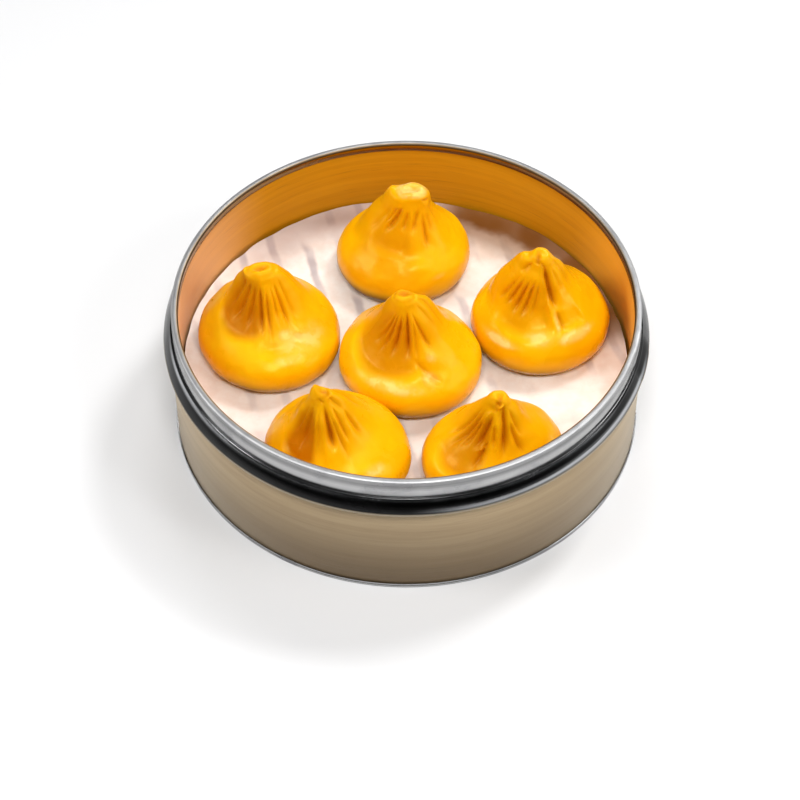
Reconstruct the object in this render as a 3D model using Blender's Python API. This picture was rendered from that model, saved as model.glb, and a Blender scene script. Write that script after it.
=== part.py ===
# Soup dumplings in their steamer basket: a bamboo basket with a steel collar and foot band,
# a slatted floor, a paper liner and six pleated dumplings. Metres, +Z up.
# The origin is the centre of the basket's flat underside, and the front is towards -Y.

import math

import bmesh
import bpy
from mathutils import Matrix, Vector

MM = 0.001
GAP = 0.3 * MM  # clearance between neighbouring pieces

# Basket, driving dimensions
BODY_RADIUS = 90.45 * MM  # outside of the outer hoop
NECK_RADIUS = 89.0 * MM  # stacking neck, outside
RIM_HEIGHT = 59.2 * MM
NECK_FOOT = 51.4 * MM  # height where the neck turns out into the bead
BEAD_RADIUS = 92.75 * MM
LIP_HEIGHT = 44.2 * MM  # lower edge of the collar
STEEL = 0.3 * MM
BAMBOO_OUTER = 1.1 * MM  # thickness of the outer hoop
BAMBOO_INNER = 1.5 * MM
HEM_LEG = 3.4 * MM  # how far the collar's hem reaches down inside
INNER_FOOT = 9.5 * MM  # lower edge of the inner hoop, above the stacking recess
INNER_TOP = RIM_HEIGHT - 1.0 * MM  # its upper edge, inside the hem
CROWN_HEIGHT = 0.8 * MM  # rise of the rounded rim
NECK_FILLET = 0.35 * MM
BEAD_TOP = 0.6 * MM  # radius where the bead turns over into its slope
BEAD_LIP = 0.8 * MM  # radius of the bead's rolled lower edge
SLOPE_TOP = 32.4  # degrees by which the slope faces upwards at its top
SLOPE_FOOT = 22.4  # and at its foot
SHOULDER = NECK_FOOT - 4.4 * MM  # top of the outer hoop, inside the bead
INNER_WALL = NECK_RADIUS - STEEL - GAP - BAMBOO_INNER  # inside of the inner hoop
BAND_HEIGHT = 2.2 * MM
BAND_FLANGE = 0.7 * MM
RING_STEPS = 64

# Floor
SUPPORT_THICKNESS = 2.0 * MM
BATTEN_THICKNESS = 2.8 * MM
BATTEN_WIDTH = 12.0 * MM
BATTEN_SPACING = 92.0 * MM
SLAT_THICKNESS = 2.9 * MM
SLAT_WIDTH = 9.8 * MM
SLAT_PITCH = 13.06 * MM
SLAT_START = -82.8 * MM  # middle of the first slat, across the floor
SLAT_COUNT = 13
SLAT_EDGE = 83.0 * MM  # no slat reaches further out than this
SLAT_ANGLE = math.radians(-75)
LINER_TOP = 27.1 * MM
LINER_THICKNESS = 0.6 * MM
LINER_RADIUS = 86.4 * MM
LINER_STEPS = 48
EDGE_RISE = 0.25 * MM  # how high the liner's edge stands all round
LINER_CURL = 1.7 * MM  # and on its curled side
CURL_SIDE = math.radians(172)
CURL_START = 0.93  # share of the liner's radius where its edge begins to rise
LINER_RINGS = (0.9, 0.95, 1.0)

# Dumplings: sizes in mm, azimuths in degrees about the topknot, -90 towards the front.
# knot is the topknot's offset from the middle of the base, fan its first and last front crease,
# and oval and shoulder are (share, azimuth): where the base is longer and the neck is fuller.
# narrow is (share, azimuth) of a topknot pressed narrower across that azimuth, and nubs are
# (x, y, size, rise) of the humps beside and on the topknot, measured from its middle.
DUMPLINGS = {
    "dumpling_back": dict(
        middle=(-1.4, 49.0), width=52.0, height=42.3, knot=(3.7, 1.2), knot_width=12.9,
        fan=(-156, -62), front=6, rear=6, depth=0.13, hollow=0.06, oval=(0.02, 10),
        shoulder=(0.45, 165), narrow=(0.25, 5), nubs=[(-8.0, 1.5, 3.6, 2.8)]),
    "dumpling_middle": dict(
        middle=(1.6, -8.9), width=54.2, height=44.3, knot=(-2.6, 0.0), knot_width=10.6,
        fan=(-150, -52), front=8, rear=6, depth=0.19, hollow=0.20, oval=(0.02, 150),
        shoulder=(0.15, 10), narrow=(0.15, 0),
        nubs=[(10.5, 1.5, 5.5, 4.2), (-6.0, 1.5, 2.8, 3.2)]),
    "dumpling_left": dict(
        middle=(-53.0, 5.2), width=55.6, height=41.4, knot=(-1.9, 2.6), knot_width=10.2,
        fan=(-158, -32), front=9, rear=5, depth=0.20, hollow=0.16, oval=(0.02, 120),
        shoulder=(0.15, 30), narrow=(0.25, 12),
        nubs=[(-10.0, 1.5, 5.0, 4.6), (12.0, 2.0, 5.5, 2.6)]),
    "dumpling_right": dict(
        middle=(52.0, 12.4), width=53.4, height=43.4, knot=(-0.9, 1.0), knot_width=9.4,
        fan=(-166, -58), front=8, rear=6, depth=0.18, hollow=0.12, oval=(0.02, 30),
        shoulder=(0.5, 180), narrow=(0.1, 0),
        nubs=[(-1.0, 1.5, 2.6, 1.0), (-8.0, 1.5, 3.4, 4.0), (7.0, 1.0, 3.5, 2.2)]),
    "dumpling_front_left": dict(
        middle=(-25.2, -54.2), width=53.0, height=42.6, knot=(-5.6, -0.6), knot_width=9.0,
        fan=(-148, -24), front=8, rear=5, depth=0.17, hollow=0.12, oval=(0.03, -25),
        shoulder=(0.15, 40), narrow=(0.15, 10),
        nubs=[(-2.6, 0.5, 1.9, 2.8), (4.5, 1.5, 3.5, 1.8)]),
    "dumpling_front_right": dict(
        middle=(31.8, -55.0), width=49.0, height=41.0, knot=(1.6, -0.7), knot_width=9.4,
        fan=(-172, -30), front=9, rear=5, depth=0.20, hollow=0.10, oval=(0.09, 20),
        shoulder=(0.1, 180), narrow=(0.1, 0),
        nubs=[(-5.0, 0.8, 2.6, 1.8), (6.0, 1.0, 3.0, 1.5)]),
}
PLEAT_COLUMNS = 3  # mesh columns to a pleat
DUMPLING_RINGS = 15
FALL = 7.0  # degrees by which creases drift sideways on their way down
UNEVEN = 3.5  # degrees by which creases stray from even spacing
REAR_FOLDS = 0.3  # depth of the rear creases, as a part of the front ones
KNOT_FOLDS = 0.4  # depth left on the topknot
OVAL_END = 0.75  # the dumpling is round above this climb
SPREAD = 25.0  # degrees by which the hollow front flank reaches past the fan

# Where along the climb from the base (0) to the neck (1) each feature comes in or fades out
FOLDS_IN = (0.42, 0.75)
FOLDS_FADE = (0.95, 1.1)
HOLLOW_SPAN = (0.4, 1.05)
KNOT_IN = (0.85, 1.05)
SHOULDER_IN = (0.55, 0.85)
SHOULDER_FADE = (0.9, 1.2)
NUBS_IN = (0.55, 0.85)
LEAN_SPAN = (0.1, 1.0)  # part of the height over which the knot's offset comes in

# Side view of a dumpling, from the middle of its base to the dimple in its topknot:
# (distance from its axis, height), as parts of half its width and of its height
SIDE = (
    (0.0, 0.0), (0.66, 0.0), (0.88, 0.035), (0.98, 0.11), (1.0, 0.19), (0.965, 0.29),
    (0.875, 0.375), (0.75, 0.455), (0.61, 0.545), (0.48, 0.64), (0.37, 0.74),
    (0.285, 0.83), (0.225, 0.89), (0.215, 0.955), (0.15, 1.0), (0.0, 0.955))
NECK_RING = 12  # index in SIDE of the narrow neck below the topknot


def make_material(name, colour, roughness, metallic=0.0):
    material = bpy.data.materials.new(name)
    material.use_nodes = True
    shader = material.node_tree.nodes["Principled BSDF"]
    shader.inputs["Base Color"].default_value = (*colour, 1.0)
    shader.inputs["Roughness"].default_value = roughness
    shader.inputs["Metallic"].default_value = metallic
    material.diffuse_color = (*colour, 1.0)
    return material


def finish(name, mesh_builder, material, smooth=True):
    bmesh.ops.recalc_face_normals(mesh_builder, faces=mesh_builder.faces)
    mesh = bpy.data.meshes.new(name)
    mesh_builder.to_mesh(mesh)
    mesh_builder.free()
    mesh.materials.append(material)
    if smooth:
        mesh.shade_smooth()
        mesh.set_sharp_from_angle(angle=math.radians(50))
    piece = bpy.data.objects.new(name, mesh)
    bpy.context.scene.collection.objects.link(piece)
    return piece


def arc(middle, radii, start, end, steps):
    # Points of an elliptical arc in the (radius, height) plane, angles in degrees
    points = []
    for step in range(steps + 1):
        angle = math.radians(start + (end - start) * step / steps)
        points.append((middle[0] + radii[0] * math.cos(angle), middle[1] + radii[1] * math.sin(angle)))
    return points


def turned(name, outline, material):
    # A ring turned from a closed outline of (radius, height) points
    builder = bmesh.new()
    corners = [builder.verts.new((radius, 0, height)) for radius, height in outline]
    edges = [builder.edges.new((corners[i - 1], corners[i])) for i in range(len(corners))]
    bmesh.ops.spin(
        builder, geom=corners + edges, cent=(0, 0, 0), axis=(0, 0, 1),
        angle=2 * math.pi, steps=RING_STEPS, use_merge=True)
    bmesh.ops.remove_doubles(builder, verts=builder.verts, dist=0.01 * MM)
    return finish(name, builder, material)


def hoop(name, outside, thickness, bottom, top, material):
    inside = outside - thickness
    return turned(name, [(inside, bottom), (outside, bottom), (outside, top), (inside, top)], material)


def steel_collar(material):
    # A hem folded over the inner hoop, the stacking neck and a sloping bead over the outer hoop
    leg = NECK_RADIUS - STEEL - GAP - BAMBOO_INNER - GAP - STEEL
    crown = ((leg + NECK_RADIUS) / 2, RIM_HEIGHT - CROWN_HEIGHT)
    hem_inside = INNER_TOP + GAP
    bead_start = NECK_RADIUS + NECK_FILLET
    bead_top = (bead_start, NECK_FOOT - NECK_FILLET - BEAD_TOP)
    bead_lip = (BEAD_RADIUS - BEAD_LIP, LIP_HEIGHT + BEAD_LIP)
    outline = [(leg, RIM_HEIGHT - HEM_LEG)]
    outline += arc(crown, ((NECK_RADIUS - leg) / 2, CROWN_HEIGHT), 180, 0, 4)
    outline += arc((bead_start, NECK_FOOT), (NECK_FILLET, NECK_FILLET), 180, 270, 2)
    outline += arc(bead_top, (BEAD_TOP, BEAD_TOP), 90, SLOPE_TOP, 2)[1:]
    outline += arc(bead_lip, (BEAD_LIP, BEAD_LIP), SLOPE_FOOT, -90, 3)
    outline += [
        (BODY_RADIUS + GAP, LIP_HEIGHT),
        (BODY_RADIUS + GAP, SHOULDER + GAP),
        (NECK_RADIUS - STEEL, SHOULDER + GAP),
        (NECK_RADIUS - STEEL, hem_inside),
        (leg + STEEL, hem_inside),
        (leg + STEEL, RIM_HEIGHT - HEM_LEG)]
    return turned("steel_collar", outline, material)


def foot_band(material):
    # An L-shaped steel band: the flange under the outer hoop is what the basket stands on
    inside = BODY_RADIUS - BAMBOO_OUTER
    leg = BODY_RADIUS + GAP
    outside = leg + STEEL
    return turned("foot_band", [
        (inside, 0), (outside, 0), (outside, BAND_HEIGHT), (leg, BAND_HEIGHT),
        (leg, BAND_FLANGE), (inside, BAND_FLANGE)], material)


def bar(name, low, high, bottom, top, reach, angle, material):
    # A straight bar between the lines low and high across the floor, cut off inside the circle
    length = 2 * math.sqrt(reach ** 2 - max(abs(low), abs(high)) ** 2)
    builder = bmesh.new()
    bmesh.ops.create_cube(builder, size=1.0)
    bmesh.ops.scale(builder, vec=(length, high - low, top - bottom), verts=builder.verts)
    bmesh.ops.translate(builder, vec=(0, (low + high) / 2, (bottom + top) / 2), verts=builder.verts)
    bmesh.ops.rotate(builder, matrix=Matrix.Rotation(angle, 3, "Z"), verts=builder.verts)
    return finish(name, builder, material, smooth=False)


def floor_bars(bamboo):
    slat_top = LINER_TOP - LINER_THICKNESS - GAP
    slat_bottom = slat_top - SLAT_THICKNESS
    batten_top = slat_bottom - GAP
    reach = INNER_WALL - 2 * GAP
    for index in range(SLAT_COUNT):
        middle = SLAT_START + index * SLAT_PITCH
        low = max(middle - SLAT_WIDTH / 2, -SLAT_EDGE)
        high = min(middle + SLAT_WIDTH / 2, SLAT_EDGE)
        bar(f"slat_{index + 1:02d}", low, high, slat_bottom, slat_top, reach, SLAT_ANGLE, bamboo)
    for index, side in enumerate((-1, 1)):
        middle = side * BATTEN_SPACING / 2
        bar(f"batten_{index + 1}", middle - BATTEN_WIDTH / 2, middle + BATTEN_WIDTH / 2,
            batten_top - BATTEN_THICKNESS, batten_top, reach, SLAT_ANGLE + math.pi / 2, bamboo)
    support_top = batten_top - BATTEN_THICKNESS - GAP
    hoop("support_hoop", INNER_WALL - GAP, SUPPORT_THICKNESS, INNER_FOOT, support_top, bamboo)


def liner_rise(radius, azimuth):
    # Height of the liner's edge above the flat: it stands up a little all round, more on one side
    edge = max(0.0, (radius / LINER_RADIUS - CURL_START) / (1 - CURL_START))
    side = max(0.0, math.cos(azimuth - CURL_SIDE))
    return edge ** 2 * (EDGE_RISE + (LINER_CURL - EDGE_RISE) * side)


def liner(paper):
    builder = bmesh.new()
    bmesh.ops.create_circle(
        builder, cap_ends=True, segments=LINER_STEPS, radius=LINER_RINGS[0] * LINER_RADIUS)
    rim = [edge for edge in builder.edges if edge.is_boundary]
    for share in LINER_RINGS[1:]:
        grown = bmesh.ops.extrude_edge_only(builder, edges=rim)["geom"]
        for vert in [item for item in grown if isinstance(item, bmesh.types.BMVert)]:
            vert.co = vert.co.normalized() * share * LINER_RADIUS
        rim = [item for item in grown if isinstance(item, bmesh.types.BMEdge) and item.is_boundary]
    for vert in builder.verts:
        vert.co.z = LINER_TOP + liner_rise(vert.co.xy.length, math.atan2(vert.co.y, vert.co.x))
    lower = bmesh.ops.extrude_face_region(builder, geom=builder.faces[:])["geom"]
    for vert in [item for item in lower if isinstance(item, bmesh.types.BMVert)]:
        vert.co.z -= LINER_THICKNESS
    return finish("liner", builder, paper)


def smooth_step(low, high, value):
    part = max(0.0, min(1.0, (value - low) / (high - low)))
    return part * part * (3 - 2 * part)


def creases(dumpling):
    # Azimuths of all creases, once round: the deep front fan, then wide shallow ones behind
    first, last = dumpling["fan"]
    front, rear = dumpling["front"], dumpling["rear"]
    azimuths = []
    for index in range(front):
        stray = UNEVEN * math.sin(2.3 * index + dumpling["width"]) if 0 < index < front - 1 else 0
        azimuths.append(first + (last - first) * index / (front - 1) + stray)
    for index in range(1, rear):
        azimuths.append(last + (360 - last + first) * index / rear)
    return azimuths


def hump_rise(nubs, spot):
    # How much the soft humps lift the skin at this spot, seen from the topknot's middle, in mm
    rise = 0.0
    for x, y, size, height in nubs:
        far = ((spot.x - x) ** 2 + (spot.y - y) ** 2) / size ** 2
        rise += height * math.exp(-far)
    return rise


def dumpling_solid(name, dumpling, dough):
    azimuths = creases(dumpling)
    count = len(azimuths)
    radius = dumpling["width"] / 2 * MM
    base = Vector((dumpling["middle"][0] * MM, dumpling["middle"][1] * MM, LINER_TOP + GAP))
    knot = Vector((*dumpling["knot"], 0)) * MM
    knot_share = dumpling["knot_width"] / 2 * MM / (max(SIDE[-3][0], SIDE[-4][0]) * radius)
    fan_middle = sum(dumpling["fan"]) / 2
    fan_half = (dumpling["fan"][1] - dumpling["fan"][0]) / 2
    builder = bmesh.new()
    bmesh.ops.create_uvsphere(
        builder, u_segments=count * PLEAT_COLUMNS, v_segments=DUMPLING_RINGS, radius=1.0)
    for vert in builder.verts:
        ring = round(math.acos(max(-1.0, min(1.0, -vert.co.z))) / math.pi * DUMPLING_RINGS)
        out, up = SIDE[ring]
        column = round(math.atan2(vert.co.y, vert.co.x) / (2 * math.pi) * count * PLEAT_COLUMNS)
        pleat, part = divmod(column % (count * PLEAT_COLUMNS), PLEAT_COLUMNS)
        start = azimuths[pleat]
        end = azimuths[(pleat + 1) % count]
        width = (end - start) % 360
        azimuth = start + width * part / PLEAT_COLUMNS
        # creases fade out towards the base and run straight up into the neck
        climb = ring / NECK_RING
        drift = FALL * (1 - min(climb, 1)) * math.cos(math.radians(azimuth - fan_middle))
        folds = smooth_step(*FOLDS_IN, climb) * (1 - (1 - KNOT_FOLDS) * smooth_step(*FOLDS_FADE, climb))
        sink = 0.0
        if part == 0:
            sink = dumpling["depth"] * (1.0 if pleat < dumpling["front"] else REAR_FOLDS)
        # the front flank is hollowed between the neck and the thick roll round the base
        facing = math.radians((azimuth - fan_middle + 180) % 360 - 180)
        front_side = math.cos(min(math.pi / 2, abs(facing) * 90 / (fan_half + SPREAD)))
        hollow = dumpling["hollow"] * front_side * math.sin(math.pi * smooth_step(*HOLLOW_SPAN, climb))
        share = 1 + (knot_share - 1) * smooth_step(*KNOT_IN, climb)
        oval = 1 + dumpling["oval"][0] * math.cos(2 * math.radians(azimuth - dumpling["oval"][1]))
        side = max(0.0, math.cos(math.radians(azimuth - dumpling["shoulder"][1])))
        neck = smooth_step(*SHOULDER_IN, climb) * (1 - smooth_step(*SHOULDER_FADE, climb))
        full = 1 + dumpling["shoulder"][0] * side ** 2 * neck
        reach = out * radius * share * full * (1 - sink * folds) * (1 - hollow)
        if climb < OVAL_END:
            reach *= oval
        across = math.sin(math.radians(azimuth - dumpling["narrow"][1])) ** 2
        reach *= 1 - dumpling["narrow"][0] * across * smooth_step(*KNOT_IN, climb)
        angle = math.radians(azimuth + drift)
        lean = smooth_step(*LEAN_SPAN, up)
        spot = knot * lean + Vector((math.cos(angle), math.sin(angle), 0)) * reach
        rise = hump_rise(dumpling["nubs"], (spot - knot) / MM) * smooth_step(*NUBS_IN, climb)
        vert.co = base + spot + Vector((0, 0, up * dumpling["height"] + rise)) * MM
    return finish(name, builder, dough)


def main():
    for leftover in list(bpy.data.objects):
        bpy.data.objects.remove(leftover, do_unlink=True)
    bamboo_out = make_material("bamboo_outside", (0.45, 0.36, 0.24), 0.62)
    bamboo_in = make_material("bamboo_inside", (0.62, 0.34, 0.09), 0.45)
    steel = make_material("steel", (0.62, 0.62, 0.61), 0.22, 1.0)
    paper = make_material("paper", (0.93, 0.86, 0.79), 0.75)
    dough = make_material("dough", (0.97, 0.46, 0.01), 0.32)

    hoop("outer_hoop", BODY_RADIUS, BAMBOO_OUTER, BAND_FLANGE + GAP, SHOULDER, bamboo_out)
    hoop("inner_hoop", INNER_WALL + BAMBOO_INNER, BAMBOO_INNER, INNER_FOOT, INNER_TOP, bamboo_in)
    steel_collar(steel)
    foot_band(steel)
    floor_bars(bamboo_in)
    liner(paper)
    for name, dumpling in DUMPLINGS.items():
        dumpling_solid(name, dumpling, dough)


main()
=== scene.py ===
import math

import bmesh
import bpy
import numpy as np
from mathutils import Matrix, Vector, noise


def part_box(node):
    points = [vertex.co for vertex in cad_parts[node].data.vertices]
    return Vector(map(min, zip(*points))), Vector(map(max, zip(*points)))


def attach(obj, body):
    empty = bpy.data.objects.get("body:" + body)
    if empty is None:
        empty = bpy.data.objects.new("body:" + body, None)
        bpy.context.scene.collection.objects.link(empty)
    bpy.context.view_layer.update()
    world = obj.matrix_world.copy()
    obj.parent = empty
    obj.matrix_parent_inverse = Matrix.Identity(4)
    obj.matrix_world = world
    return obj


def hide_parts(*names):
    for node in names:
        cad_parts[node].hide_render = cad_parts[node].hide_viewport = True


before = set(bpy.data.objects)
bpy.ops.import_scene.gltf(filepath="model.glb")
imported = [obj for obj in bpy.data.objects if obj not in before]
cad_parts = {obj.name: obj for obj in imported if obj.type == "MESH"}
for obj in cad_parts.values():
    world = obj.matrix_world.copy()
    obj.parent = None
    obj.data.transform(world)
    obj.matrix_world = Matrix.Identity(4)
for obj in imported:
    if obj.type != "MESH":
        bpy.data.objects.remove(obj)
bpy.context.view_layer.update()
print("frame loaded:", len(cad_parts), "nodes")

mm = 0.001
clearance = 0.3 * mm  # between neighbouring pieces
bpy.context.scene.view_settings.view_transform = "Standard"


def smoothStep(low, high, value):
    part = np.clip((value - low) / (high - low), 0.0, 1.0)
    return part * part * (3 - 2 * part)


def ease(low, high, value):
    # the same for a single number, and quicker
    part = min(1.0, max(0.0, (value - low) / (high - low)))
    return part * part * (3 - 2 * part)


def between(value, fadeIn, fadeOut):
    return ease(*fadeIn, value) * (1 - ease(*fadeOut, value))


def makePiece(name, builder, material, nodes, sharp=40):
    # turns a finished bmesh into a piece that stands for these CAD nodes
    bmesh.ops.recalc_face_normals(builder, faces=builder.faces)
    mesh = bpy.data.meshes.new(name)
    builder.to_mesh(mesh)
    builder.free()
    mesh.materials.append(material)
    mesh.shade_smooth()
    mesh.set_sharp_from_angle(angle=math.radians(sharp))
    piece = bpy.data.objects.new(name, mesh)
    bpy.context.scene.collection.objects.link(piece)
    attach(piece, "root")
    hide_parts(*nodes)
    return piece


def spinRound(builder, corners, edges, steps, mergeDistance):
    bmesh.ops.spin(builder, geom=corners + edges, cent=(0, 0, 0), axis=(0, 0, 1),
                   angle=2 * math.pi, steps=steps, use_merge=True)
    bmesh.ops.remove_doubles(builder, verts=builder.verts, dist=mergeDistance)
    return builder


def turnProfile(outline, steps):
    # full spin of a closed outline of (radius, height) points
    builder = bmesh.new()
    corners = [builder.verts.new((radius, 0, height)) for radius, height in outline]
    edges = [builder.edges.new((corners[i - 1], corners[i])) for i in range(len(corners))]
    return spinRound(builder, corners, edges, steps, 0.005 * mm)


def arcPoints(middle, radii, start, end, steps):
    points = []
    for step in range(steps + 1):
        angle = math.radians(start + (end - start) * step / steps)
        points.append((middle[0] + radii[0] * math.cos(angle), middle[1] + radii[1] * math.sin(angle)))
    return points


def bowedLine(start, end, facings, steps):
    # from start to end with a slight bow, facing upwards by these degrees at its two ends
    (x0, y0), (x1, y1) = start, end
    reach = math.hypot(x1 - x0, y1 - y0) / 2
    first, last = (math.radians(angle) for angle in facings)
    bend = [(x0 + reach * math.sin(first), y0 - reach * math.cos(first)),
            (x1 - reach * math.sin(last), y1 + reach * math.cos(last))]
    middle = ((bend[0][0] + bend[1][0]) / 2, (bend[0][1] + bend[1][1]) / 2)
    points = []
    for step in range(steps + 1):
        t = step / steps
        points.append(tuple((1 - t) ** 2 * a + 2 * t * (1 - t) * b + t * t * c
                            for a, b, c in zip(start, middle, end)))
    return points


def addNode(tree, kind, **settings):
    node = tree.nodes.new(kind)
    for name, value in settings.items():
        if name in node.inputs:
            node.inputs[name].default_value = value
        else:
            setattr(node, name, value)
    return node


def addMath(tree, operation, first, second=None, clamp=False):
    node = addNode(tree, "ShaderNodeMath", operation=operation, use_clamp=clamp)
    for index, value in enumerate((first, second)):
        if isinstance(value, (int, float)):
            node.inputs[index].default_value = value
        elif value is not None:
            tree.links.new(value, node.inputs[index])
    return node.outputs[0]


def multiply(tree, first, second, clamp=False):
    return addMath(tree, "MULTIPLY", first, second, clamp)


def add(tree, first, second):
    return addMath(tree, "ADD", first, second)


def subtract(tree, first, second):
    return addMath(tree, "SUBTRACT", first, second)


def vectorMath(tree, operation, first, second=None):
    node = addNode(tree, "ShaderNodeVectorMath", operation=operation)
    tree.links.new(first, node.inputs[0])
    if second is not None:
        node.inputs[1].default_value = second
    return node.outputs


def axes(tree, vector):
    node = addNode(tree, "ShaderNodeSeparateXYZ")
    tree.links.new(vector, node.inputs[0])
    return node.outputs


def clouds(tree, vector, scale, detail, roughness):
    node = addNode(tree, "ShaderNodeTexNoise", Scale=scale, Detail=detail, Roughness=roughness)
    tree.links.new(vector, node.inputs["Vector"])
    return node.outputs["Fac"]


def painted(tree, name):
    # a value that the mesh's points carry
    return addNode(tree, "ShaderNodeAttribute", attribute_name=name).outputs["Fac"]


def mixColour(tree, share, first, second, blend="MIX"):
    node = addNode(tree, "ShaderNodeMix", data_type="RGBA", blend_type=blend)
    for index, value in ((0, share), (6, first), (7, second)):
        if isinstance(value, (int, float)):
            node.inputs[index].default_value = value
        elif isinstance(value, tuple):
            node.inputs[index].default_value = (*value, 1.0)
        else:
            tree.links.new(value, node.inputs[index])
    return node.outputs[2]


def layColours(tree, colour, layers):
    for share, tone in layers:
        colour = mixColour(tree, share, colour, tone)
    return colour


def ramp(tree, value, low, high):
    # 0 below low, 1 above high
    node = addNode(tree, "ShaderNodeMapRange", interpolation_type="SMOOTHSTEP")
    tree.links.new(value, node.inputs["Value"])
    node.inputs["From Min"].default_value = low
    node.inputs["From Max"].default_value = high
    return node.outputs["Result"]


def colourStops(tree, value, stops):
    # (position, colour) stops, from 0 to 1
    node = addNode(tree, "ShaderNodeValToRGB")
    tree.links.new(value, node.inputs["Fac"])
    elements = node.color_ramp.elements
    for index, (position, tone) in enumerate(stops):
        stop = elements[index] if index < 2 else elements.new(position)
        stop.position = position
        stop.color = (*tone, 1)
    return node.outputs["Color"]


def makeFibreGroup():
    # long streaks, fine fibres and short dark flecks along a stretched vector
    group = bpy.data.node_groups.new("bambooFibre", "ShaderNodeTree")
    group.interface.new_socket("Vector", in_out="INPUT", socket_type="NodeSocketVector")
    for label in ("Streaks", "Fibres", "Flecks", "Height"):
        group.interface.new_socket(label, in_out="OUTPUT", socket_type="NodeSocketFloat")
    vector = group.nodes.new("NodeGroupInput").outputs["Vector"]
    out = group.nodes.new("NodeGroupOutput")
    streaks = clouds(group, vector, 1.0, 4.0, 0.55)
    fibres = clouds(group, vector, 4.5, 5.0, 0.7)
    flecks = ramp(group, clouds(group, vector, 7.0, 1.0, 0.5), 0.66, 0.76)
    height = subtract(group, fibres, multiply(group, flecks, 0.4))
    for label, value in (("Streaks", ramp(group, streaks, 0.3, 0.7)), ("Flecks", flecks),
                         ("Fibres", ramp(group, fibres, 0.3, 0.7)), ("Height", height)):
        group.links.new(value, out.inputs[label])
    return group


fibreGroup = makeFibreGroup()


def startMaterial(name):
    material = bpy.data.materials.new(name)
    material.use_nodes = True
    tree = material.node_tree
    place = tree.nodes.new("ShaderNodeTexCoord").outputs["Object"]
    return material, tree, tree.nodes["Principled BSDF"], place


def stretched(tree, place, scale, turn=0.0):
    # the pattern's vector: turned about Z, then stretched
    turned = addNode(tree, "ShaderNodeMapping", Rotation=(0, 0, turn))
    tree.links.new(place, turned.inputs["Vector"])
    scaled = addNode(tree, "ShaderNodeMapping", Scale=scale)
    tree.links.new(turned.outputs["Vector"], scaled.inputs["Vector"])
    return scaled.outputs["Vector"]


def finishShader(tree, shader, colour, rough, height, strength, distance):
    tree.links.new(colour, shader.inputs["Base Color"])
    if isinstance(rough, float):
        shader.inputs["Roughness"].default_value = rough
    else:
        tree.links.new(rough, shader.inputs["Roughness"])
    bump = addNode(tree, "ShaderNodeBump", Strength=strength, Distance=distance)
    tree.links.new(height, bump.inputs["Height"])
    tree.links.new(bump.outputs["Normal"], shader.inputs["Normal"])


def bambooMaterial(name, look):
    material, tree, shader, place = startMaterial(name)
    fibre = addNode(tree, "ShaderNodeGroup", node_tree=fibreGroup)
    tree.links.new(stretched(tree, place, look["stretch"], look.get("turn", 0.0)), fibre.inputs["Vector"])
    colour = layColours(tree, look["dark"], [
        (fibre.outputs["Streaks"], look["light"]),
        (multiply(tree, fibre.outputs["Fibres"], look["fine"]), look["fibre"]),
        (multiply(tree, fibre.outputs["Flecks"], look["flecks"]), look["fleck"])])
    level = axes(tree, place)
    if "foot" in look:  # painted shade: darker towards the foot
        low, high, tone, share = look["foot"]
        paintedShade = multiply(tree, subtract(tree, 1.0, ramp(tree, level["Z"], low, high)), share)
        colour = mixColour(tree, paintedShade, colour, tone)
    if "sheen" in look:  # painted sheen: paler where it is seen at a slant
        tone, share = look["sheen"]
        slant = ramp(tree, addNode(tree, "ShaderNodeLayerWeight", Blend=0.5).outputs["Facing"], 0.45, 0.95)
        colour = mixColour(tree, multiply(tree, slant, share), colour, tone)
    for low, high, tone, share in look.get("sides", ()):  # painted light: lighter towards the right, paler towards the left
        colour = mixColour(tree, multiply(tree, ramp(tree, level["X"], low, high), share), colour, tone)
    rough = add(tree, multiply(tree, fibre.outputs["Fibres"], 0.12), look["rough"])
    shader.inputs["Specular IOR Level"].default_value = look.get("shine", 0.4)
    finishShader(tree, shader, colour, rough, fibre.outputs["Height"], look["bump"], 0.0004)
    return material


basket = {
    "bodyRadius": 90.45 * mm,
    "outerWall": 1.1 * mm,
    "outerFoot": 1.0 * mm,
    "outerTop": 47.0 * mm,
    "innerWall": 86.9 * mm,  # inside of the inner hoop
    "innerThickness": 1.5 * mm,
    "innerFoot": 9.5 * mm,
    "innerTop": 58.2 * mm,
    "softEdge": 0.25 * mm,
    "steps": 288,
}

# stretch: how closely the pattern repeats along each axis; foot: painted shade towards the foot (from height,
# to height, colour, share)
# sheen: painted sheen at a slant (colour, share); sides: painted light by side (from x, to x, colour, share)
outsideLook = dict(dark=(0.43, 0.305, 0.165), light=(0.55, 0.41, 0.235), fibre=(0.63, 0.485, 0.295),
                   fleck=(0.2, 0.13, 0.07), fine=0.35, flecks=0.25, rough=0.5, bump=0.25,
                   stretch=(9, 9, 260), foot=(0.002, 0.052, (0.12, 0.073, 0.031), 0.85),
                   sheen=((0.9, 0.78, 0.6), 0.35))
insideLook = dict(dark=(0.58, 0.245, 0.004), light=(0.66, 0.295, 0.007), fibre=(0.74, 0.37, 0.02),
                  fleck=(0.26, 0.09, 0.007), fine=0.2, flecks=0.4, rough=0.42, bump=0.2,
                  stretch=(9, 9, 420), shine=0.1, sheen=((0.95, 0.6, 0.33), 0.65),
                  sides=((0.066, 0.082, (0.98, 0.48, 0.02), 0.65), (-0.055, -0.08, (0.95, 0.6, 0.4), 0.35)))
outsideBamboo = bambooMaterial("bambooOutside", outsideLook)
insideBamboo = bambooMaterial("bambooInside", insideLook)


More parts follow.
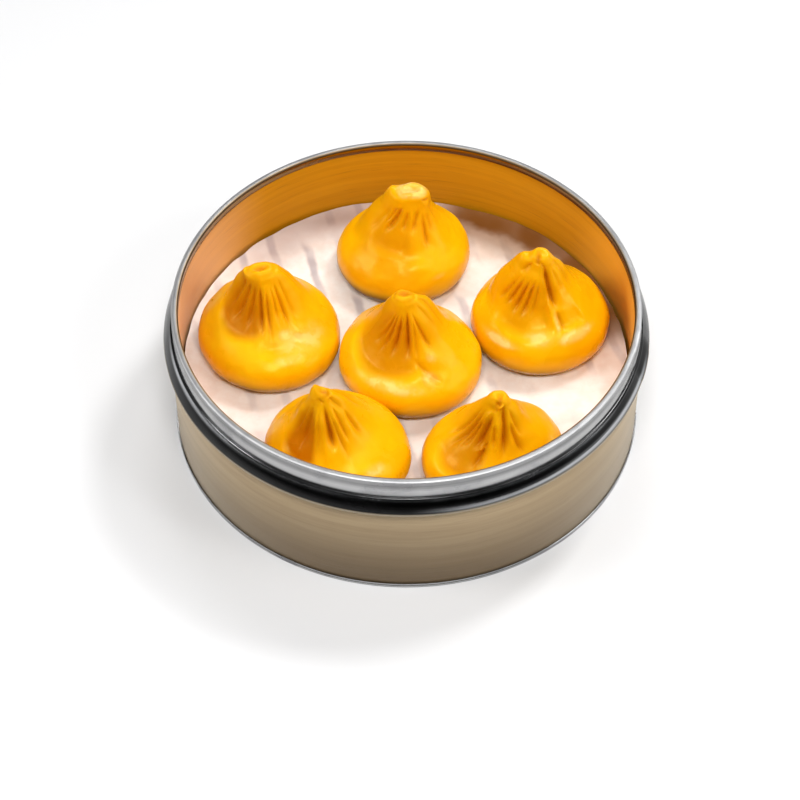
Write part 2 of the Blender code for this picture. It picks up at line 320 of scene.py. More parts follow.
def makeHoop(name, node, inside, outside, bottom, top, material):
    corners = [(inside, bottom), (outside, bottom), (outside, top), (inside, top)]
    builder = turnProfile(corners, basket["steps"])
    rims = [e for e in builder.edges
            if abs(e.verts[0].co.z - e.verts[1].co.z) < 1e-7
            and abs(e.verts[0].co.xy.length - e.verts[1].co.xy.length) < 1e-6]
    bmesh.ops.bevel(builder, geom=rims, offset=basket["softEdge"], segments=3, profile=0.5,
                    affect="EDGES", material=-1, clamp_overlap=True)
    return makePiece(name, builder, material, [node])


makeHoop("outerHoop", "outer_hoop", basket["bodyRadius"] - basket["outerWall"], basket["bodyRadius"],
         basket["outerFoot"], basket["outerTop"], outsideBamboo)
makeHoop("innerHoop", "inner_hoop", basket["innerWall"], basket["innerWall"] + basket["innerThickness"],
         basket["innerFoot"], basket["innerTop"], insideBamboo)
print("hoops turned")


collar = {
    "neck": 89.0 * mm,
    "rim": 59.2 * mm,
    "neckFoot": 51.4 * mm,
    "bead": 92.75 * mm,
    "lipHeight": 44.2 * mm,
    "sheet": 0.3 * mm,
    "hemLeg": 3.4 * mm,
    "crown": 0.8 * mm,
    "fillet": 0.35 * mm,
    "beadTop": 0.6 * mm,
    "lip": 0.8 * mm,
    "slope": (32.4, 22.4),  # degrees by which the bead's slope faces upwards, at its top and foot
    "lap": (-17.0, -8.5),  # azimuths of the lap seam, on the right
    "lapRise": 0.16 * mm,
    # painted highlights and painted dark reflections on the steel: first and last azimuth, lower and upper
    # height in mm, share
    "paintedGlint": [(-82, -14, 46.0, 47.4, 0.5), (-168, -102, 49.7, 50.8, 0.55), (-106, -34, 50.1, 50.6, 0.42),
               (-96, -24, 52.6, 54.8, 0.16)],
    "dullAndDarkReflection": [(-168, -148, 52.0, 58.0, 0.7), (-170, -146, 44.8, 49.2, 0.85), (-80, 0, 44.3, 45.6, 0.35)],
    "lipTan": (44.5, 45.5, 0.75),  # heights in mm of the lip's painted reflection of the wood, and its share
    "seam": (58.1, 58.4, 0.8),  # heights in mm over which a painted shade line runs along the hem's edge, and its share
    "seamReach": (0.25, 0.6),  # mm in from the hem's leg over which the painted shade ends
    "hemReach": (0.3, 1.2),  # mm over which the leg's painted brown reflection ends
    "crownDull": 58.3,  # height in mm above which the rim is scuffed
    "steps": 360,
}

footBand = {
    "sheet": 0.3 * mm,
    "height": 2.2 * mm,
    "flange": 0.7 * mm,
    "groove": 1.25 * mm,
    "grooveHalf": 0.15 * mm,
    "softEdge": 0.12 * mm,
    "topEdge": 0.08 * mm,
}


def steelMaterial(name, look):
    material, tree, shader, place = startMaterial(name)
    lines = clouds(tree, stretched(tree, place, look["stretch"]), 1.0, 5.0, 0.65)
    smears = ramp(tree, clouds(tree, place, 70.0, 3.0, 0.6), 0.45, 0.72)
    colour = mixColour(tree, smears, look["clean"], look["dullAndDarkReflection"])
    if "tones" in look:  # painted reflections: darker and lighter by height, streaked by the drawn lines
        low, high = look["tones"][0][0] * mm, look["tones"][-1][0] * mm
        rise = addMath(tree, "DIVIDE", subtract(tree, axes(tree, place)["Z"], low), high - low)
        tones = colourStops(tree, rise, [((height * mm - low) / (high - low), (tone, tone, tone * 1.01))
                                         for height, tone in look["tones"]])
        shade = addNode(tree, "ShaderNodeVectorMath", operation="SCALE")
        tree.links.new(tones, shade.inputs[0])
        tree.links.new(add(tree, multiply(tree, lines, 0.9), 0.55), shade.inputs["Scale"])
        colour = mixColour(tree, 1.0, colour, shade.outputs[0], "MULTIPLY")
    for label, tone in look.get("stretches", ()):
        share = painted(tree, label)
        if label == "paintedGlint":  # painted highlight, broken along the drawn lines
            share = multiply(tree, share, ramp(tree, lines, 0.25, 0.5))
        colour = mixColour(tree, share, colour, tone)
    rough = add(tree, multiply(tree, lines, 0.12), add(tree, multiply(tree, smears, 0.08), look["rough"]))
    if "worn" in look:  # scuffed on the rim and where the sheet's ends lap
        rough = add(tree, rough, multiply(tree, painted(tree, "worn"), look["worn"]))
    shader.inputs["Metallic"].default_value = 1.0
    finishShader(tree, shader, colour, rough, lines, look["bump"], 0.0001)
    return material


collarSteel = steelMaterial("collarSteel", dict(
    clean=(1.0, 1.0, 0.995), dullAndDarkReflection=(0.82, 0.82, 0.83), rough=0.14, bump=0.25, stretch=(12, 12, 900), worn=0.35,
    tones=[(44.2, 0.03), (44.9, 0.05), (45.4, 0.03), (46.3, 0.04), (47.3, 0.03), (48.6, 0.014), (49.9, 0.02),
           (50.3, 0.06), (50.7, 0.03), (51.2, 0.05), (51.6, 0.16), (52.1, 0.3), (53.0, 0.42), (54.2, 0.44),
           (55.3, 0.37), (56.2, 0.28), (57.1, 0.22), (57.8, 0.3), (58.2, 0.26), (58.75, 0.5), (58.95, 0.78),
           (59.08, 0.66), (59.14, 0.45), (59.2, 0.38)],  # height in mm, grey of the painted reflection
    # painted on the steel: the hem's brown reflection, a shade line along it, dark reflections, highlights
    # and the lip's reflection of the wood
    stretches=[("hem", (0.34, 0.22, 0.09)), ("seam", (0.05, 0.04, 0.035)), ("dullAndDarkReflection", (0.02, 0.02, 0.021)),
               ("paintedGlint", (0.95, 0.97, 1.0)), ("tan", (0.4, 0.335, 0.24))]))
bandSteel = steelMaterial("bandSteel", dict(
    clean=(0.4, 0.4, 0.4), dullAndDarkReflection=(0.26, 0.26, 0.27), rough=0.16, bump=0.2, stretch=(12, 12, 900)))


def collarOutline(leg, under):
    neck, rim, sheet, crown, fillet = (collar[label] for label in ("neck", "rim", "sheet", "crown", "fillet"))
    beadTop = (neck + fillet, collar["neckFoot"] - fillet - collar["beadTop"])
    beadLip = (collar["bead"] - collar["lip"], collar["lipHeight"] + collar["lip"])
    shoulder = basket["outerTop"] + clearance
    hem = basket["innerTop"] + clearance
    foot = rim - collar["hemLeg"]
    outline = [(leg + 0.05 * mm, foot), (leg, foot + 0.06 * mm), (leg, rim - 1.2 * mm)]
    outline += arcPoints(((leg + neck) / 2, rim - crown), ((neck - leg) / 2, crown), 180, 0, 20)
    outline += arcPoints((beadTop[0], collar["neckFoot"]), (fillet, fillet), 180, 270, 6)
    shoulderArc = arcPoints(beadTop, (collar["beadTop"], collar["beadTop"]), 90, collar["slope"][0], 6)
    lipArc = arcPoints(beadLip, (collar["lip"], collar["lip"]), collar["slope"][1], -90, 10)
    outline += shoulderArc[1:] + bowedLine(shoulderArc[-1], lipArc[0], collar["slope"], 12)[1:-1] + lipArc
    return outline + [(under, collar["lipHeight"]), (under, shoulder), (neck - sheet, shoulder),
                      (neck - sheet, hem), (leg + sheet, hem), (leg + sheet, foot)]


def paintStretch(stretch, azimuth, height):
    first, last, low, high, share = stretch
    around = between(azimuth, (first - 8, first + 8), (last - 6, last + 6))
    return share * around * between(height, (low - 0.5, low + 0.5), (high - 0.5, high + 0.5))


def makeCollar():
    neck = collar["neck"]
    leg = basket["innerWall"] - clearance - collar["sheet"]  # the hem's leg inside
    under = basket["bodyRadius"] + clearance
    builder = turnProfile(collarOutline(leg, under), collar["steps"])
    layers = {label: builder.verts.layers.float.new(label)
              for label in ("worn", "hem", "seam", "tan", "paintedGlint", "dullAndDarkReflection")}
    start, end = collar["lap"]
    tanLow, tanHigh, tanShare = collar["lipTan"]
    seamLow, seamHigh, seamShare = collar["seam"]
    for vert in builder.verts:
        azimuth = math.degrees(math.atan2(vert.co.y, vert.co.x))
        radius, height = vert.co.xy.length, vert.co.z / mm
        inwards = (radius - leg) / mm  # mm in from the leg's face
        outer = ease(neck - 1 * mm, neck - 0.2 * mm, radius)
        scuffed = ease(collar["crownDull"], collar["crownDull"] + 0.5, height)
        vert[layers["worn"]] = max(between(azimuth, (start - 3, start), (end, end + 3)), scuffed)
        # painted reflection of the wood on the lip
        lipReflecting = between(height, (tanLow - 0.2, tanLow), (tanHigh - 0.1, tanHigh + 0.2))
        vert[layers["tan"]] = tanShare * lipReflecting
        # painted highlights and painted dark reflections on the outer face
        for label in ("paintedGlint", "dullAndDarkReflection"):
            shares = [paintStretch(stretch, azimuth, height) for stretch in collar[label]]
            vert[layers[label]] = outer * max(shares)
        # painted brown reflection of the bamboo on the hem's leg and inner crown
        vert[layers["hem"]] = 1 - ease(*collar["hemReach"], inwards)
        back = ease(-45 * mm, -10 * mm, vert.co.y)  # no painted shade on the front's edge
        vert[layers["seam"]] = seamShare * back * ease(seamLow, seamHigh, height)
        vert[layers["seam"]] *= 1 - ease(*collar["seamReach"], inwards)
        if radius > under - 0.01 * mm or outer > 0.5:
            lap = between(azimuth, (start - 0.4, start), (end, end + 0.4))
            vert.co.xy *= 1 + collar["lapRise"] * lap * outer / radius
    return makePiece("steelCollar", builder, collarSteel, ["steel_collar"], sharp=50)


def makeBand():
    inside = basket["bodyRadius"] - basket["outerWall"]
    leg = basket["bodyRadius"] + clearance
    outside = leg + footBand["sheet"]
    soft, height, groove, half = (footBand[label] for label in ("softEdge", "height", "groove", "grooveHalf"))
    outline = [(inside, 0), (outside - soft, 0), (outside, soft), (outside, groove - half),
               (outside - soft, groove), (outside, groove + half), (outside, height - footBand["topEdge"]),
               (outside - footBand["topEdge"], height), (leg, height),
               (leg, footBand["flange"]), (inside, footBand["flange"])]
    builder = turnProfile(outline, collar["steps"])
    return makePiece("footBand", builder, bandSteel, ["foot_band"], sharp=30)


makeCollar()
makeBand()
print("collar and foot band turned")


floorBars = {
    "angle": math.radians(-75),
    "slatBottom": 23.3 * mm,
    "slatThickness": 2.9 * mm,
    "slatWidth": 9.8 * mm,
    "pitch": 13.06 * mm,
    "start": -82.8 * mm,
    "count": 13,
    "edge": 83.0 * mm,
    "reach": 86.3 * mm,
    "battenThickness": 2.8 * mm,
    "battenWidth": 12.0 * mm,
    "battenSpacing": 92.0 * mm,
    "supportThickness": 2.0 * mm,
    "softEdge": 0.5 * mm,
}


def barLook(turn):
    return dict(dark=(0.5, 0.27, 0.09), light=(0.64, 0.4, 0.17), fibre=(0.72, 0.5, 0.26),
                fleck=(0.26, 0.13, 0.05), fine=0.4, flecks=0.4, rough=0.5, bump=0.3,
                stretch=(14, 300, 300), turn=turn)


slatBamboo = bambooMaterial("bambooSlat", barLook(-floorBars["angle"]))
battenBamboo = bambooMaterial("bambooBatten", barLook(-floorBars["angle"] - math.pi / 2))


def makeBar(name, node, low, high, bottom, top, angle, material):
    length = 2 * math.sqrt(floorBars["reach"] ** 2 - max(abs(low), abs(high)) ** 2)
    builder = bmesh.new()
    bmesh.ops.create_cube(builder, size=1.0)
    bmesh.ops.scale(builder, vec=(length, high - low, top - bottom), verts=builder.verts)
    bmesh.ops.bevel(builder, geom=builder.edges[:], offset=floorBars["softEdge"], segments=3, profile=0.5,
                    affect="EDGES", material=-1)
    bmesh.ops.translate(builder, vec=(0, (low + high) / 2, (bottom + top) / 2), verts=builder.verts)
    bmesh.ops.rotate(builder, matrix=Matrix.Rotation(angle, 3, "Z"), verts=builder.verts)
    return makePiece(name, builder, material, [node])


def makeFloorBars():
    bottom = floorBars["slatBottom"]
    for index in range(floorBars["count"]):
        middle = floorBars["start"] + index * floorBars["pitch"]
        low = max(middle - floorBars["slatWidth"] / 2, -floorBars["edge"])
        high = min(middle + floorBars["slatWidth"] / 2, floorBars["edge"])
        makeBar(f"slat{index + 1:02d}", f"slat_{index + 1:02d}", low, high,
                bottom, bottom + floorBars["slatThickness"], floorBars["angle"], slatBamboo)
    battenTop = bottom - clearance
    battenFoot = battenTop - floorBars["battenThickness"]
    for index, side in enumerate((-1, 1)):
        middle = side * floorBars["battenSpacing"] / 2
        makeBar(f"batten{index + 1}", f"batten_{index + 1}", middle - floorBars["battenWidth"] / 2,
                middle + floorBars["battenWidth"] / 2, battenFoot, battenTop,
                floorBars["angle"] + math.pi / 2, battenBamboo)
    outside = basket["innerWall"] - clearance
    makeHoop("supportHoop", "support_hoop", outside - floorBars["supportThickness"], outside,
             basket["innerFoot"], battenFoot - clearance, insideBamboo)


makeFloorBars()
print("slatted floor laid")


liner = {
    "top": 27.1 * mm,
    "radius": 86.4 * mm,
    "thickness": 0.3 * mm,
    "rings": 64,
    "steps": 240,
    "sink": 0.12 * mm,  # how far its crinkled face lies below the flat one
    "crinkle": 0.16 * mm,
    "edgeRise": 0.25 * mm,
    "curl": 1.7 * mm,
    "curlSide": math.radians(172),
    "curlStart": 0.93,
    "uneven": 0.9 * mm,
    "pulp": ((0.9, 0.8, 0.73), (0.96, 0.91, 0.86)),
    "gapLine": 15.15 * mm,  # a gap between slats lies here, across the floor
    "gapSoft": 0.9 * mm,
    "gapWander": 4.0 * mm,
    # painted shade where the paper lies over the gaps
    "gapTone": (0.33, 0.28, 0.31),
    "shadowSide": math.radians(43),  # the walls' painted shadow, with a soaked stain, lies on this side
    "shadowHalf": math.radians(36),
    "shadowEdge": 77.0 * mm,
    "shadowTorn": 18.0 * mm,
    "paintedShade": (-14.0, 4.0, 0.7, (0.5, 0.4, 0.38)),  # painted shadow: mm from its edge, share and colour
    "brownShadow": (-24.0, 2.0, 0.6, (0.5, 0.34, 0.2)),
    "soaked": (-2.5, 3.5, 1.0, (0.22, 0.085, 0.01)),
}


def gapsBetweenSlats(tree, place, wander):
    # 1 where the paper hangs over a gap, with an uneven edge
    across = axes(tree, stretched(tree, place, (1, 1, 1), -floorBars["angle"]))["Y"]
    across = add(tree, across, multiply(tree, subtract(tree, wander, 0.5), liner["gapWander"]))
    shifted = addMath(tree, "DIVIDE", subtract(tree, across, liner["gapLine"]), floorBars["pitch"])
    away = addMath(tree, "ABSOLUTE", subtract(tree, shifted, addMath(tree, "ROUND", shifted)))
    half, soft = (floorBars["pitch"] - floorBars["slatWidth"]) / 2, liner["gapSoft"]
    return subtract(tree, 1.0, ramp(tree, multiply(tree, away, floorBars["pitch"]), half - soft, half + soft))


def paperMaterial():
    material, tree, shader, place = startMaterial("linerPaper")
    northing = axes(tree, place)["Y"]
    wander = clouds(tree, place, 60.0, 3.0, 0.6)
    patches = clouds(tree, place, 24.0, 2.0, 0.5)
    broken = clouds(tree, place, 48.0, 2.0, 0.5)
    pulp = clouds(tree, place, 160.0, 4.0, 0.6)
    # painted shade over the gaps between slats, stronger towards the back
    behind = add(tree, multiply(tree, ramp(tree, northing, -0.02, 0.06), 0.65), 0.35)
    shown = multiply(tree, gapsBetweenSlats(tree, place, wander), behind)
    shown = multiply(tree, shown, ramp(tree, broken, 0.36, 0.57))
    # painted shadow of the walls: grey towards the wall behind, brown along it on the right with a soaked
    # stain, with a ragged edge
    flat = vectorMath(tree, "MULTIPLY", place, (1, 1, 0))[0]
    side, half = liner["shadowSide"], liner["shadowHalf"]
    facing = vectorMath(tree, "DOT_PRODUCT", vectorMath(tree, "NORMALIZE", flat)[0],
                        (math.cos(side), math.sin(side), 0))["Value"]
    sideways = ramp(tree, facing, math.cos(half * 1.15), math.cos(half * 0.8))
    torn = subtract(tree, add(tree, patches, multiply(tree, wander, 0.6)), 0.8)
    ragged = add(tree, vectorMath(tree, "LENGTH", flat)["Value"], multiply(tree, torn, liner["shadowTorn"]))
    blotched = add(tree, multiply(tree, ramp(tree, broken, 0.35, 0.6), 0.2), 0.8)
    colour = mixColour(tree, ramp(tree, pulp, 0.3, 0.7), *liner["pulp"])
    colour = mixColour(tree, multiply(tree, shown, 0.75), colour, liner["gapTone"])
    for label, mask in (("paintedShade", ramp(tree, northing, 0.03, 0.07)), ("brownShadow", sideways),
                        ("soaked", multiply(tree, sideways, blotched))):
        low, high, share, tone = liner[label]
        reached = ramp(tree, ragged, liner["shadowEdge"] + low * mm, liner["shadowEdge"] + high * mm)
        colour = mixColour(tree, multiply(tree, multiply(tree, mask, reached), share), colour, tone)
    folds = addNode(tree, "ShaderNodeTexVoronoi", Scale=45.0, feature="DISTANCE_TO_EDGE")
    tree.links.new(place, folds.inputs["Vector"])
    height = add(tree, multiply(tree, pulp, 0.5), folds.outputs["Distance"])
    finishShader(tree, shader, colour, 0.7, height, 0.25, 0.0008)
    return material


def makeLiner():
    builder = bmesh.new()
    rings = liner["rings"]
    spokes = [builder.verts.new((liner["radius"] * ring / rings, 0, 0)) for ring in range(rings + 1)]
    edges = [builder.edges.new((spokes[i], spokes[i + 1])) for i in range(rings)]
    spinRound(builder, spokes, edges, liner["steps"], 0.01 * mm)
    for vert in builder.verts:
        azimuth = math.atan2(vert.co.y, vert.co.x)
        share = vert.co.xy.length / liner["radius"]
        # the cut edge wanders inwards
        wander = noise.noise(Vector((math.cos(azimuth) * 3, math.sin(azimuth) * 3, 1.7)))
        wander += 0.5 * noise.noise(Vector((math.cos(azimuth) * 11, math.sin(azimuth) * 11, 4.1)))
        vert.co.xy *= 1 - share ** 8 * liner["uneven"] / liner["radius"] * (0.6 + wander)
        edge = max(0.0, (share - liner["curlStart"]) / (1 - liner["curlStart"]))
        side = max(0.0, math.cos(azimuth - liner["curlSide"]))
        rise = edge ** 2 * (liner["edgeRise"] + (liner["curl"] - liner["edgeRise"]) * side)
        crease = noise.noise(vert.co * 70) + 0.5 * noise.noise(vert.co * 190)
        vert.co.z = liner["top"] - liner["sink"] + rise + liner["crinkle"] * crease
    bmesh.ops.recalc_face_normals(builder, faces=builder.faces)
    bmesh.ops.solidify(builder, geom=builder.faces[:], thickness=liner["thickness"])
    return makePiece("paperLiner", builder, paperMaterial(), ["liner"], sharp=60)


makeLiner()
print("liner laid")


# side view from the middle of the base to the dimple in the knot: (share of half width, share of height)
sideOut = [0.0, 0.66, 0.88, 0.98, 1.0, 0.965, 0.875, 0.75, 0.61, 0.48, 0.37, 0.29, 0.25, 0.205, 0.125, 0.0]
sideUp = [0.0, 0.0, 0.035, 0.11, 0.19, 0.29, 0.375, 0.455, 0.545, 0.64, 0.74, 0.825, 0.885, 0.95, 0.995, 0.99]

# Azimuths are about the knot in degrees, -90 towards the front, and heights are shares of the dumpling's.
# folds: (azimuth and height at the top, azimuth and height at the foot, depth mm, half width mm),
# a negative depth is a ridge
# bowls, scooped flanks with a crisp foot: (first and last azimuth, foot height at both, sag between,
# height where it has faded, depth mm, how much painted shade deepens its colour)
# lumps: (azimuth, height, half width in degrees, half height, depth mm)
# dry: roughness added on the body and on the knot
# soak: painted shade at the foot, all round and low down on the left
# pale: painted highlights on wet, stretched patches (azimuth, height, half width in degrees, half height,
# share)
# dimple: (x and y from the knot's middle, depth, long half, short half in mm, turn, sharpness)
# tilt: (drop in mm across the knot, azimuth); narrow: (share, azimuth) by which the knot is pressed flatter
# nubs, humps beside and on the knot: (x and y from its middle, size, rise in mm, share left on the knot)
dumplings = {
    "back": dict(
        node="dumpling_back", middle=(-1.4, 49.0), width=52.0, height=42.3, knot=(3.7, 1.2), knotWidth=12.9,
        fan=(-156, -62), hollow=0.06, oval=(0.02, 10), shoulder=(0.45, 165), rear=6,
        narrow=(0.25, 5), nubs=[(-8.0, 1.5, 3.8, 3.2, 0.2)],
        dimple=(-0.6, -1.3, 1.0, 3.8, 1.0, 9, 1.0), tilt=(0.7, -90), seed=3, dry=(0.1, 0.0),
        soak=(1.0, 1.0), pale=[(-90, 0.99, 400, 0.03, 0.45), (-55, 0.33, 6, 0.02, 0.4)],
        folds=[(-152, 0.84, -162, 0.58, 0.8, 1.6), (-122, 0.86, -141, 0.62, 1.7, 0.9),
               (-101, 0.84, -107, 0.66, 1.0, 0.8), (-67, 0.85, -88, 0.64, 1.2, 0.9),
               (-56, 0.80, -58, 0.50, 1.2, 0.9), (-40, 0.80, -43, 0.60, 0.7, 1.0),
               (-134, 0.86, -150, 0.66, 0.9, 0.8), (-55, 0.94, -12, 0.885, 0.7, 0.8)],
        bowls=[(-158, -84, 0.54, 0.52, 0.04, 0.9, 1.1, 0.2), (-175, -70, 0.2, 0.2, 0.0, 0.7, 0.0, 0.3)],
        lumps=[(-76, 0.42, 12, 0.05, -0.5), (-54, 0.35, 10, 0.04, -0.4), (-88, 0.50, 16, 0.05, 0.5)]),
    "middle": dict(
        node="dumpling_middle", middle=(1.6, -8.9), width=54.2, height=44.3, knot=(-2.6, 0.0), knotWidth=9.0,
        fan=(-150, -52), hollow=0.20, oval=(0.02, 150), shoulder=(0.15, 10), rear=6,
        narrow=(0.15, 0), nubs=[(8.6, 1.5, 5.2, 4.4, 0.2), (-6.0, 1.5, 3.0, 3.2, 0.2)],
        dimple=(0.1, 0.8, 1.2, 3.0, 1.3, 3, 1.1), tilt=(0.4, -100), seed=8, dry=(0.07, 0.18),
        soak=(0.8, 0.5), pale=[(-108, 0.365, 30, 0.035, 0.6), (-68, 0.41, 8, 0.035, 0.5),
                               (-56, 0.54, 6, 0.04, 0.4)],
        folds=[(-133, 0.88, -166, 0.60, 0.8, 1.3), (-122, 0.87, -158, 0.54, 1.4, 0.9),
               (-113, 0.87, -143, 0.50, 1.4, 0.8), (-99, 0.85, -122, 0.49, 1.9, 0.9),
               (-77, 0.88, -90, 0.50, 2.3, 0.8), (-63, 0.84, -77, 0.47, 0.8, 0.7),
               (-59, 0.86, -47, 0.53, 1.3, 0.6), (-80, 0.54, -56, 0.36, 1.0, 1.3),
               (-30, 0.90, -24, 0.66, 0.5, 0.9)],
        bowls=[(153, -68, 0.54, 0.46, 0.11, 0.92, 2.0, 0.55)],
        lumps=[(-56, 0.54, 12, 0.07, -1.0), (-70, 0.43, 12, 0.03, -0.6)]),
    "left": dict(
        node="dumpling_left", middle=(-53.0, 5.2), width=55.6, height=41.4, knot=(-1.9, 2.6), knotWidth=12.2,
        fan=(-158, -32), hollow=0.16, oval=(0.02, 120), shoulder=(0.15, 30), rear=5,
        narrow=(0.25, 12), nubs=[(-9.5, 1.5, 5.0, 4.6, 0.2), (10.0, 1.5, 5.5, 2.6, 0.2)],
        dimple=(-0.2, -0.2, 1.0, 2.9, 0.9, 20, 1.0), tilt=(0.5, -80), seed=5, dry=(0.08, 0.18),
        soak=(0.9, 0.6), pale=[(-45, 0.44, 24, 0.07, 0.45), (-64, 0.38, 14, 0.03, 0.5),
                               (-60, 0.51, 9, 0.03, 0.5), (160, 0.4, 12, 0.09, 0.5)],
        folds=[(-152, 0.89, -170, 0.57, 1.3, 0.9), (-131, 0.89, -148, 0.53, 1.8, 1.0),
               (-111, 0.88, -122, 0.50, 1.6, 0.9), (-93, 0.88, -94, 0.48, 2.3, 0.9),
               (-75, 0.85, -82, 0.46, 1.4, 0.8), (-58, 0.86, -64, 0.54, 0.7, 0.6),
               (-42, 0.87, -51, 0.50, 1.2, 0.6), (-22, 0.88, -38, 0.52, 0.6, 0.7)],
        bowls=[(166, -86, 0.58, 0.53, 0.10, 1.0, 1.2, 0.85), (-122, -40, 0.45, 0.42, 0.03, 0.62, 1.0, 0.1)],
        lumps=[(-41, 0.50, 9, 0.05, -0.6), (-64, 0.46, 10, 0.04, -0.5), (-98, 0.455, 9, 0.035, -0.4),
               (-84, 0.44, 8, 0.04, 0.4)]),
    "right": dict(
        node="dumpling_right", middle=(52.0, 12.4), width=53.4, height=43.4, knot=(-0.9, 1.0), knotWidth=9.4,
        fan=(-166, -58), hollow=0.12, oval=(0.02, 30), shoulder=(0.5, 180), rear=6,
        narrow=(0.1, 0),
        nubs=[(-1.0, 1.5, 2.6, 1.0, 1.0), (-7.6, 1.5, 4.0, 3.6, 0.3), (7.0, 1.0, 3.8, 2.2, 0.2)],
        dimple=(-1.3, -2.0, 1.0, 2.4, 0.9, 85, 1.0), tilt=(0.6, -120), seed=11, dry=(0.0, 0.1),
        soak=(0.8, 0.5), pale=[(-53, 0.395, 17, 0.03, 1.2), (-92, 0.42, 14, 0.045, 0.5),
                               (-133, 0.345, 16, 0.025, 1.1), (-70, 0.51, 3, 0.06, 0.7)],
        folds=[(-148, 0.82, -163, 0.56, 1.2, 0.8), (-136, 0.82, -151, 0.54, 1.5, 0.8),
               (-122, 0.81, -139, 0.51, 1.7, 0.8), (-108, 0.81, -125, 0.49, 1.5, 0.8),
               (-95, 0.80, -109, 0.52, 0.8, 0.8), (-139, 0.95, -156, 0.84, 1.0, 0.9),
               (-74, 0.92, -66, 0.56, 3.2, 1.0), (-66, 0.58, -62, 0.43, 1.3, 1.0),
               (-79, 0.68, -73, 0.44, -0.8, 0.9), (-100, 0.97, -60, 0.86, 0.9, 0.7),
               (-45, 0.88, -42, 0.66, 0.6, 0.9)],
        bowls=[(-160, -70, 0.46, 0.45, 0.05, 0.86, 1.7, 0.3), (-66, -32, 0.44, 0.46, 0.02, 0.62, 0.9, 0.05)],
        lumps=[(-96, 0.445, 16, 0.035, -0.6), (-60, 0.40, 8, 0.05, -0.4)]),
    "frontLeft": dict(
        node="dumpling_front_left", middle=(-25.2, -54.2), width=53.0, height=42.6, knot=(-5.6, -0.6),
        knotWidth=7.8, fan=(-148, -24), hollow=0.12, oval=(0.03, -25), shoulder=(0.15, 40), rear=5,
        narrow=(0.15, 10), nubs=[(-2.4, 0.6, 2.2, 2.6, 1.0), (6.0, 1.5, 4.2, 2.4, 0.3)],
        dimple=(1.5, -0.6, 0.4, 2.2, 1.2, 10, 1.0), tilt=(0.8, 10), seed=17, dry=(0.06, 0.2),
        soak=(0.8, 0.4), pale=[(-48, 0.39, 9, 0.03, 0.5), (170, 0.42, 12, 0.1, 0.4)],
        folds=[(-146, 0.88, -160, 0.56, 0.8, 0.9), (-130, 0.88, -139, 0.48, 1.9, 1.4),
               (-102, 0.86, -108, 0.44, 0.7, 0.8), (-74, 0.88, -82, 0.54, 2.6, 0.9),
               (-62, 0.86, -66, 0.44, 0.9, 0.8), (-42, 0.86, -54, 0.56, 1.0, 0.6),
               (-19, 0.80, -30, 0.56, 1.0, 0.7), (-27, 0.95, -20, 0.78, 0.8, 0.9),
               (-112, 0.96, -70, 0.90, 0.8, 0.7)],
        bowls=[(-172, -106, 0.50, 0.46, 0.06, 0.92, 1.2, 0.9)],
        lumps=[(-92, 0.60, 7, 0.12, -0.7), (-60, 0.42, 14, 0.05, -0.4)]),
    "frontRight": dict(
        node="dumpling_front_right", middle=(31.8, -55.0), width=49.0, height=41.0, knot=(1.6, -0.7),
        knotWidth=7.6, fan=(-172, -30), hollow=0.10, oval=(0.09, 20), shoulder=(0.1, 180), rear=5,
        narrow=(0.1, 0), nubs=[(-5.0, 0.8, 3.0, 2.0, 0.6), (6.0, 1.0, 3.4, 1.8, 0.2)],
        dimple=(0.0, -2.6, 0.9, 2.6, 0.9, 80, 1.0), tilt=(0.3, -90), seed=23, dry=(0.08, 0.2),
        soak=(0.9, 0.4), pale=[(-5, 0.38, 16, 0.06, 0.5)],
        folds=[(-166, 0.84, -176, 0.46, 1.1, 0.8), (-150, 0.85, -161, 0.46, 1.3, 0.8),
               (-136, 0.84, -148, 0.50, 1.2, 0.8), (-115, 0.85, -130, 0.53, 2.4, 1.0),
               (-108, 0.66, -120, 0.42, 1.4, 0.9), (-66, 0.95, -81, 0.48, 2.4, 1.0),
               (-102, 0.80, -96, 0.57, 1.1, 0.7), (-42, 0.88, -38, 0.60, 1.0, 0.8),
               (-56, 0.80, -46, 0.46, 1.4, 0.9), (-102, 0.985, -112, 0.86, 1.2, 0.9),
               (-61, 0.96, -126, 0.88, -1.0, 0.9), (-126, 0.88, -145, 0.70, -0.9, 0.8),
               (-124, 0.55, -106, 0.60, -0.8, 0.6)],
        bowls=[(-178, -100, 0.44, 0.40, 0.07, 0.90, 1.1, 0.6)],
        lumps=[(-88, 0.62, 6, 0.14, -0.6)]),
}

dough = {
    "base": 27.4 * mm,
    "columns": 320,
    "rings": 180,
    "knotPlace": 12,  # the neck's place along the side view
    "knotRing": 0.22,  # share of the half width that stands for the knot's
    "knotTop": (12.4, 13.4),  # places along the side view over which the knot's flat top begins
    "spread": 25.0,
    "lumpSize": 9.0 * mm,
    "lumpHeight": 0.42 * mm,
    "rippleSize": 3.2 * mm,
    "rippleHeight": 0.1 * mm,
    "foldSteps": 7,
    "foldFloor": 0.25,  # no fold reaches below this height
    "creaseDepth": 2.0,  # mm of depth at which a fold has its full painted shade
    "rearFold": (0.93, 0.60, 0.7, 1.1),  # heights at top and foot, depth and half width of those behind
    "lobes": 0.035,
    "soakSide": 215,  # azimuth of the side with the darkest painted shade
}


def alongSide(values, place):
    # smooth curve through the side view's values
    values = np.array([values[1], *values, values[-2]])
    index = np.clip(np.floor(place).astype(int), 0, len(values) - 4)
    t = place - index
    a, b, c, d = (values[index + k] for k in range(4))
    bend, twist = 2 * a - 5 * b + 4 * c - d, 3 * b - a - 3 * c + d
    return 0.5 * (2 * b + (c - a) * t + bend * t ** 2 + twist * t ** 3)


def turnFrom(azimuth, middle):
    return (azimuth - middle + 180) % 360 - 180


def patchDistance(azimuth, up, azMiddle, upMiddle, azHalf, upHalf):
    # squared distance from a patch's middle, 1 at its edge
    return (turnFrom(azimuth, azMiddle) / azHalf) ** 2 + ((up - upMiddle) / upHalf) ** 2


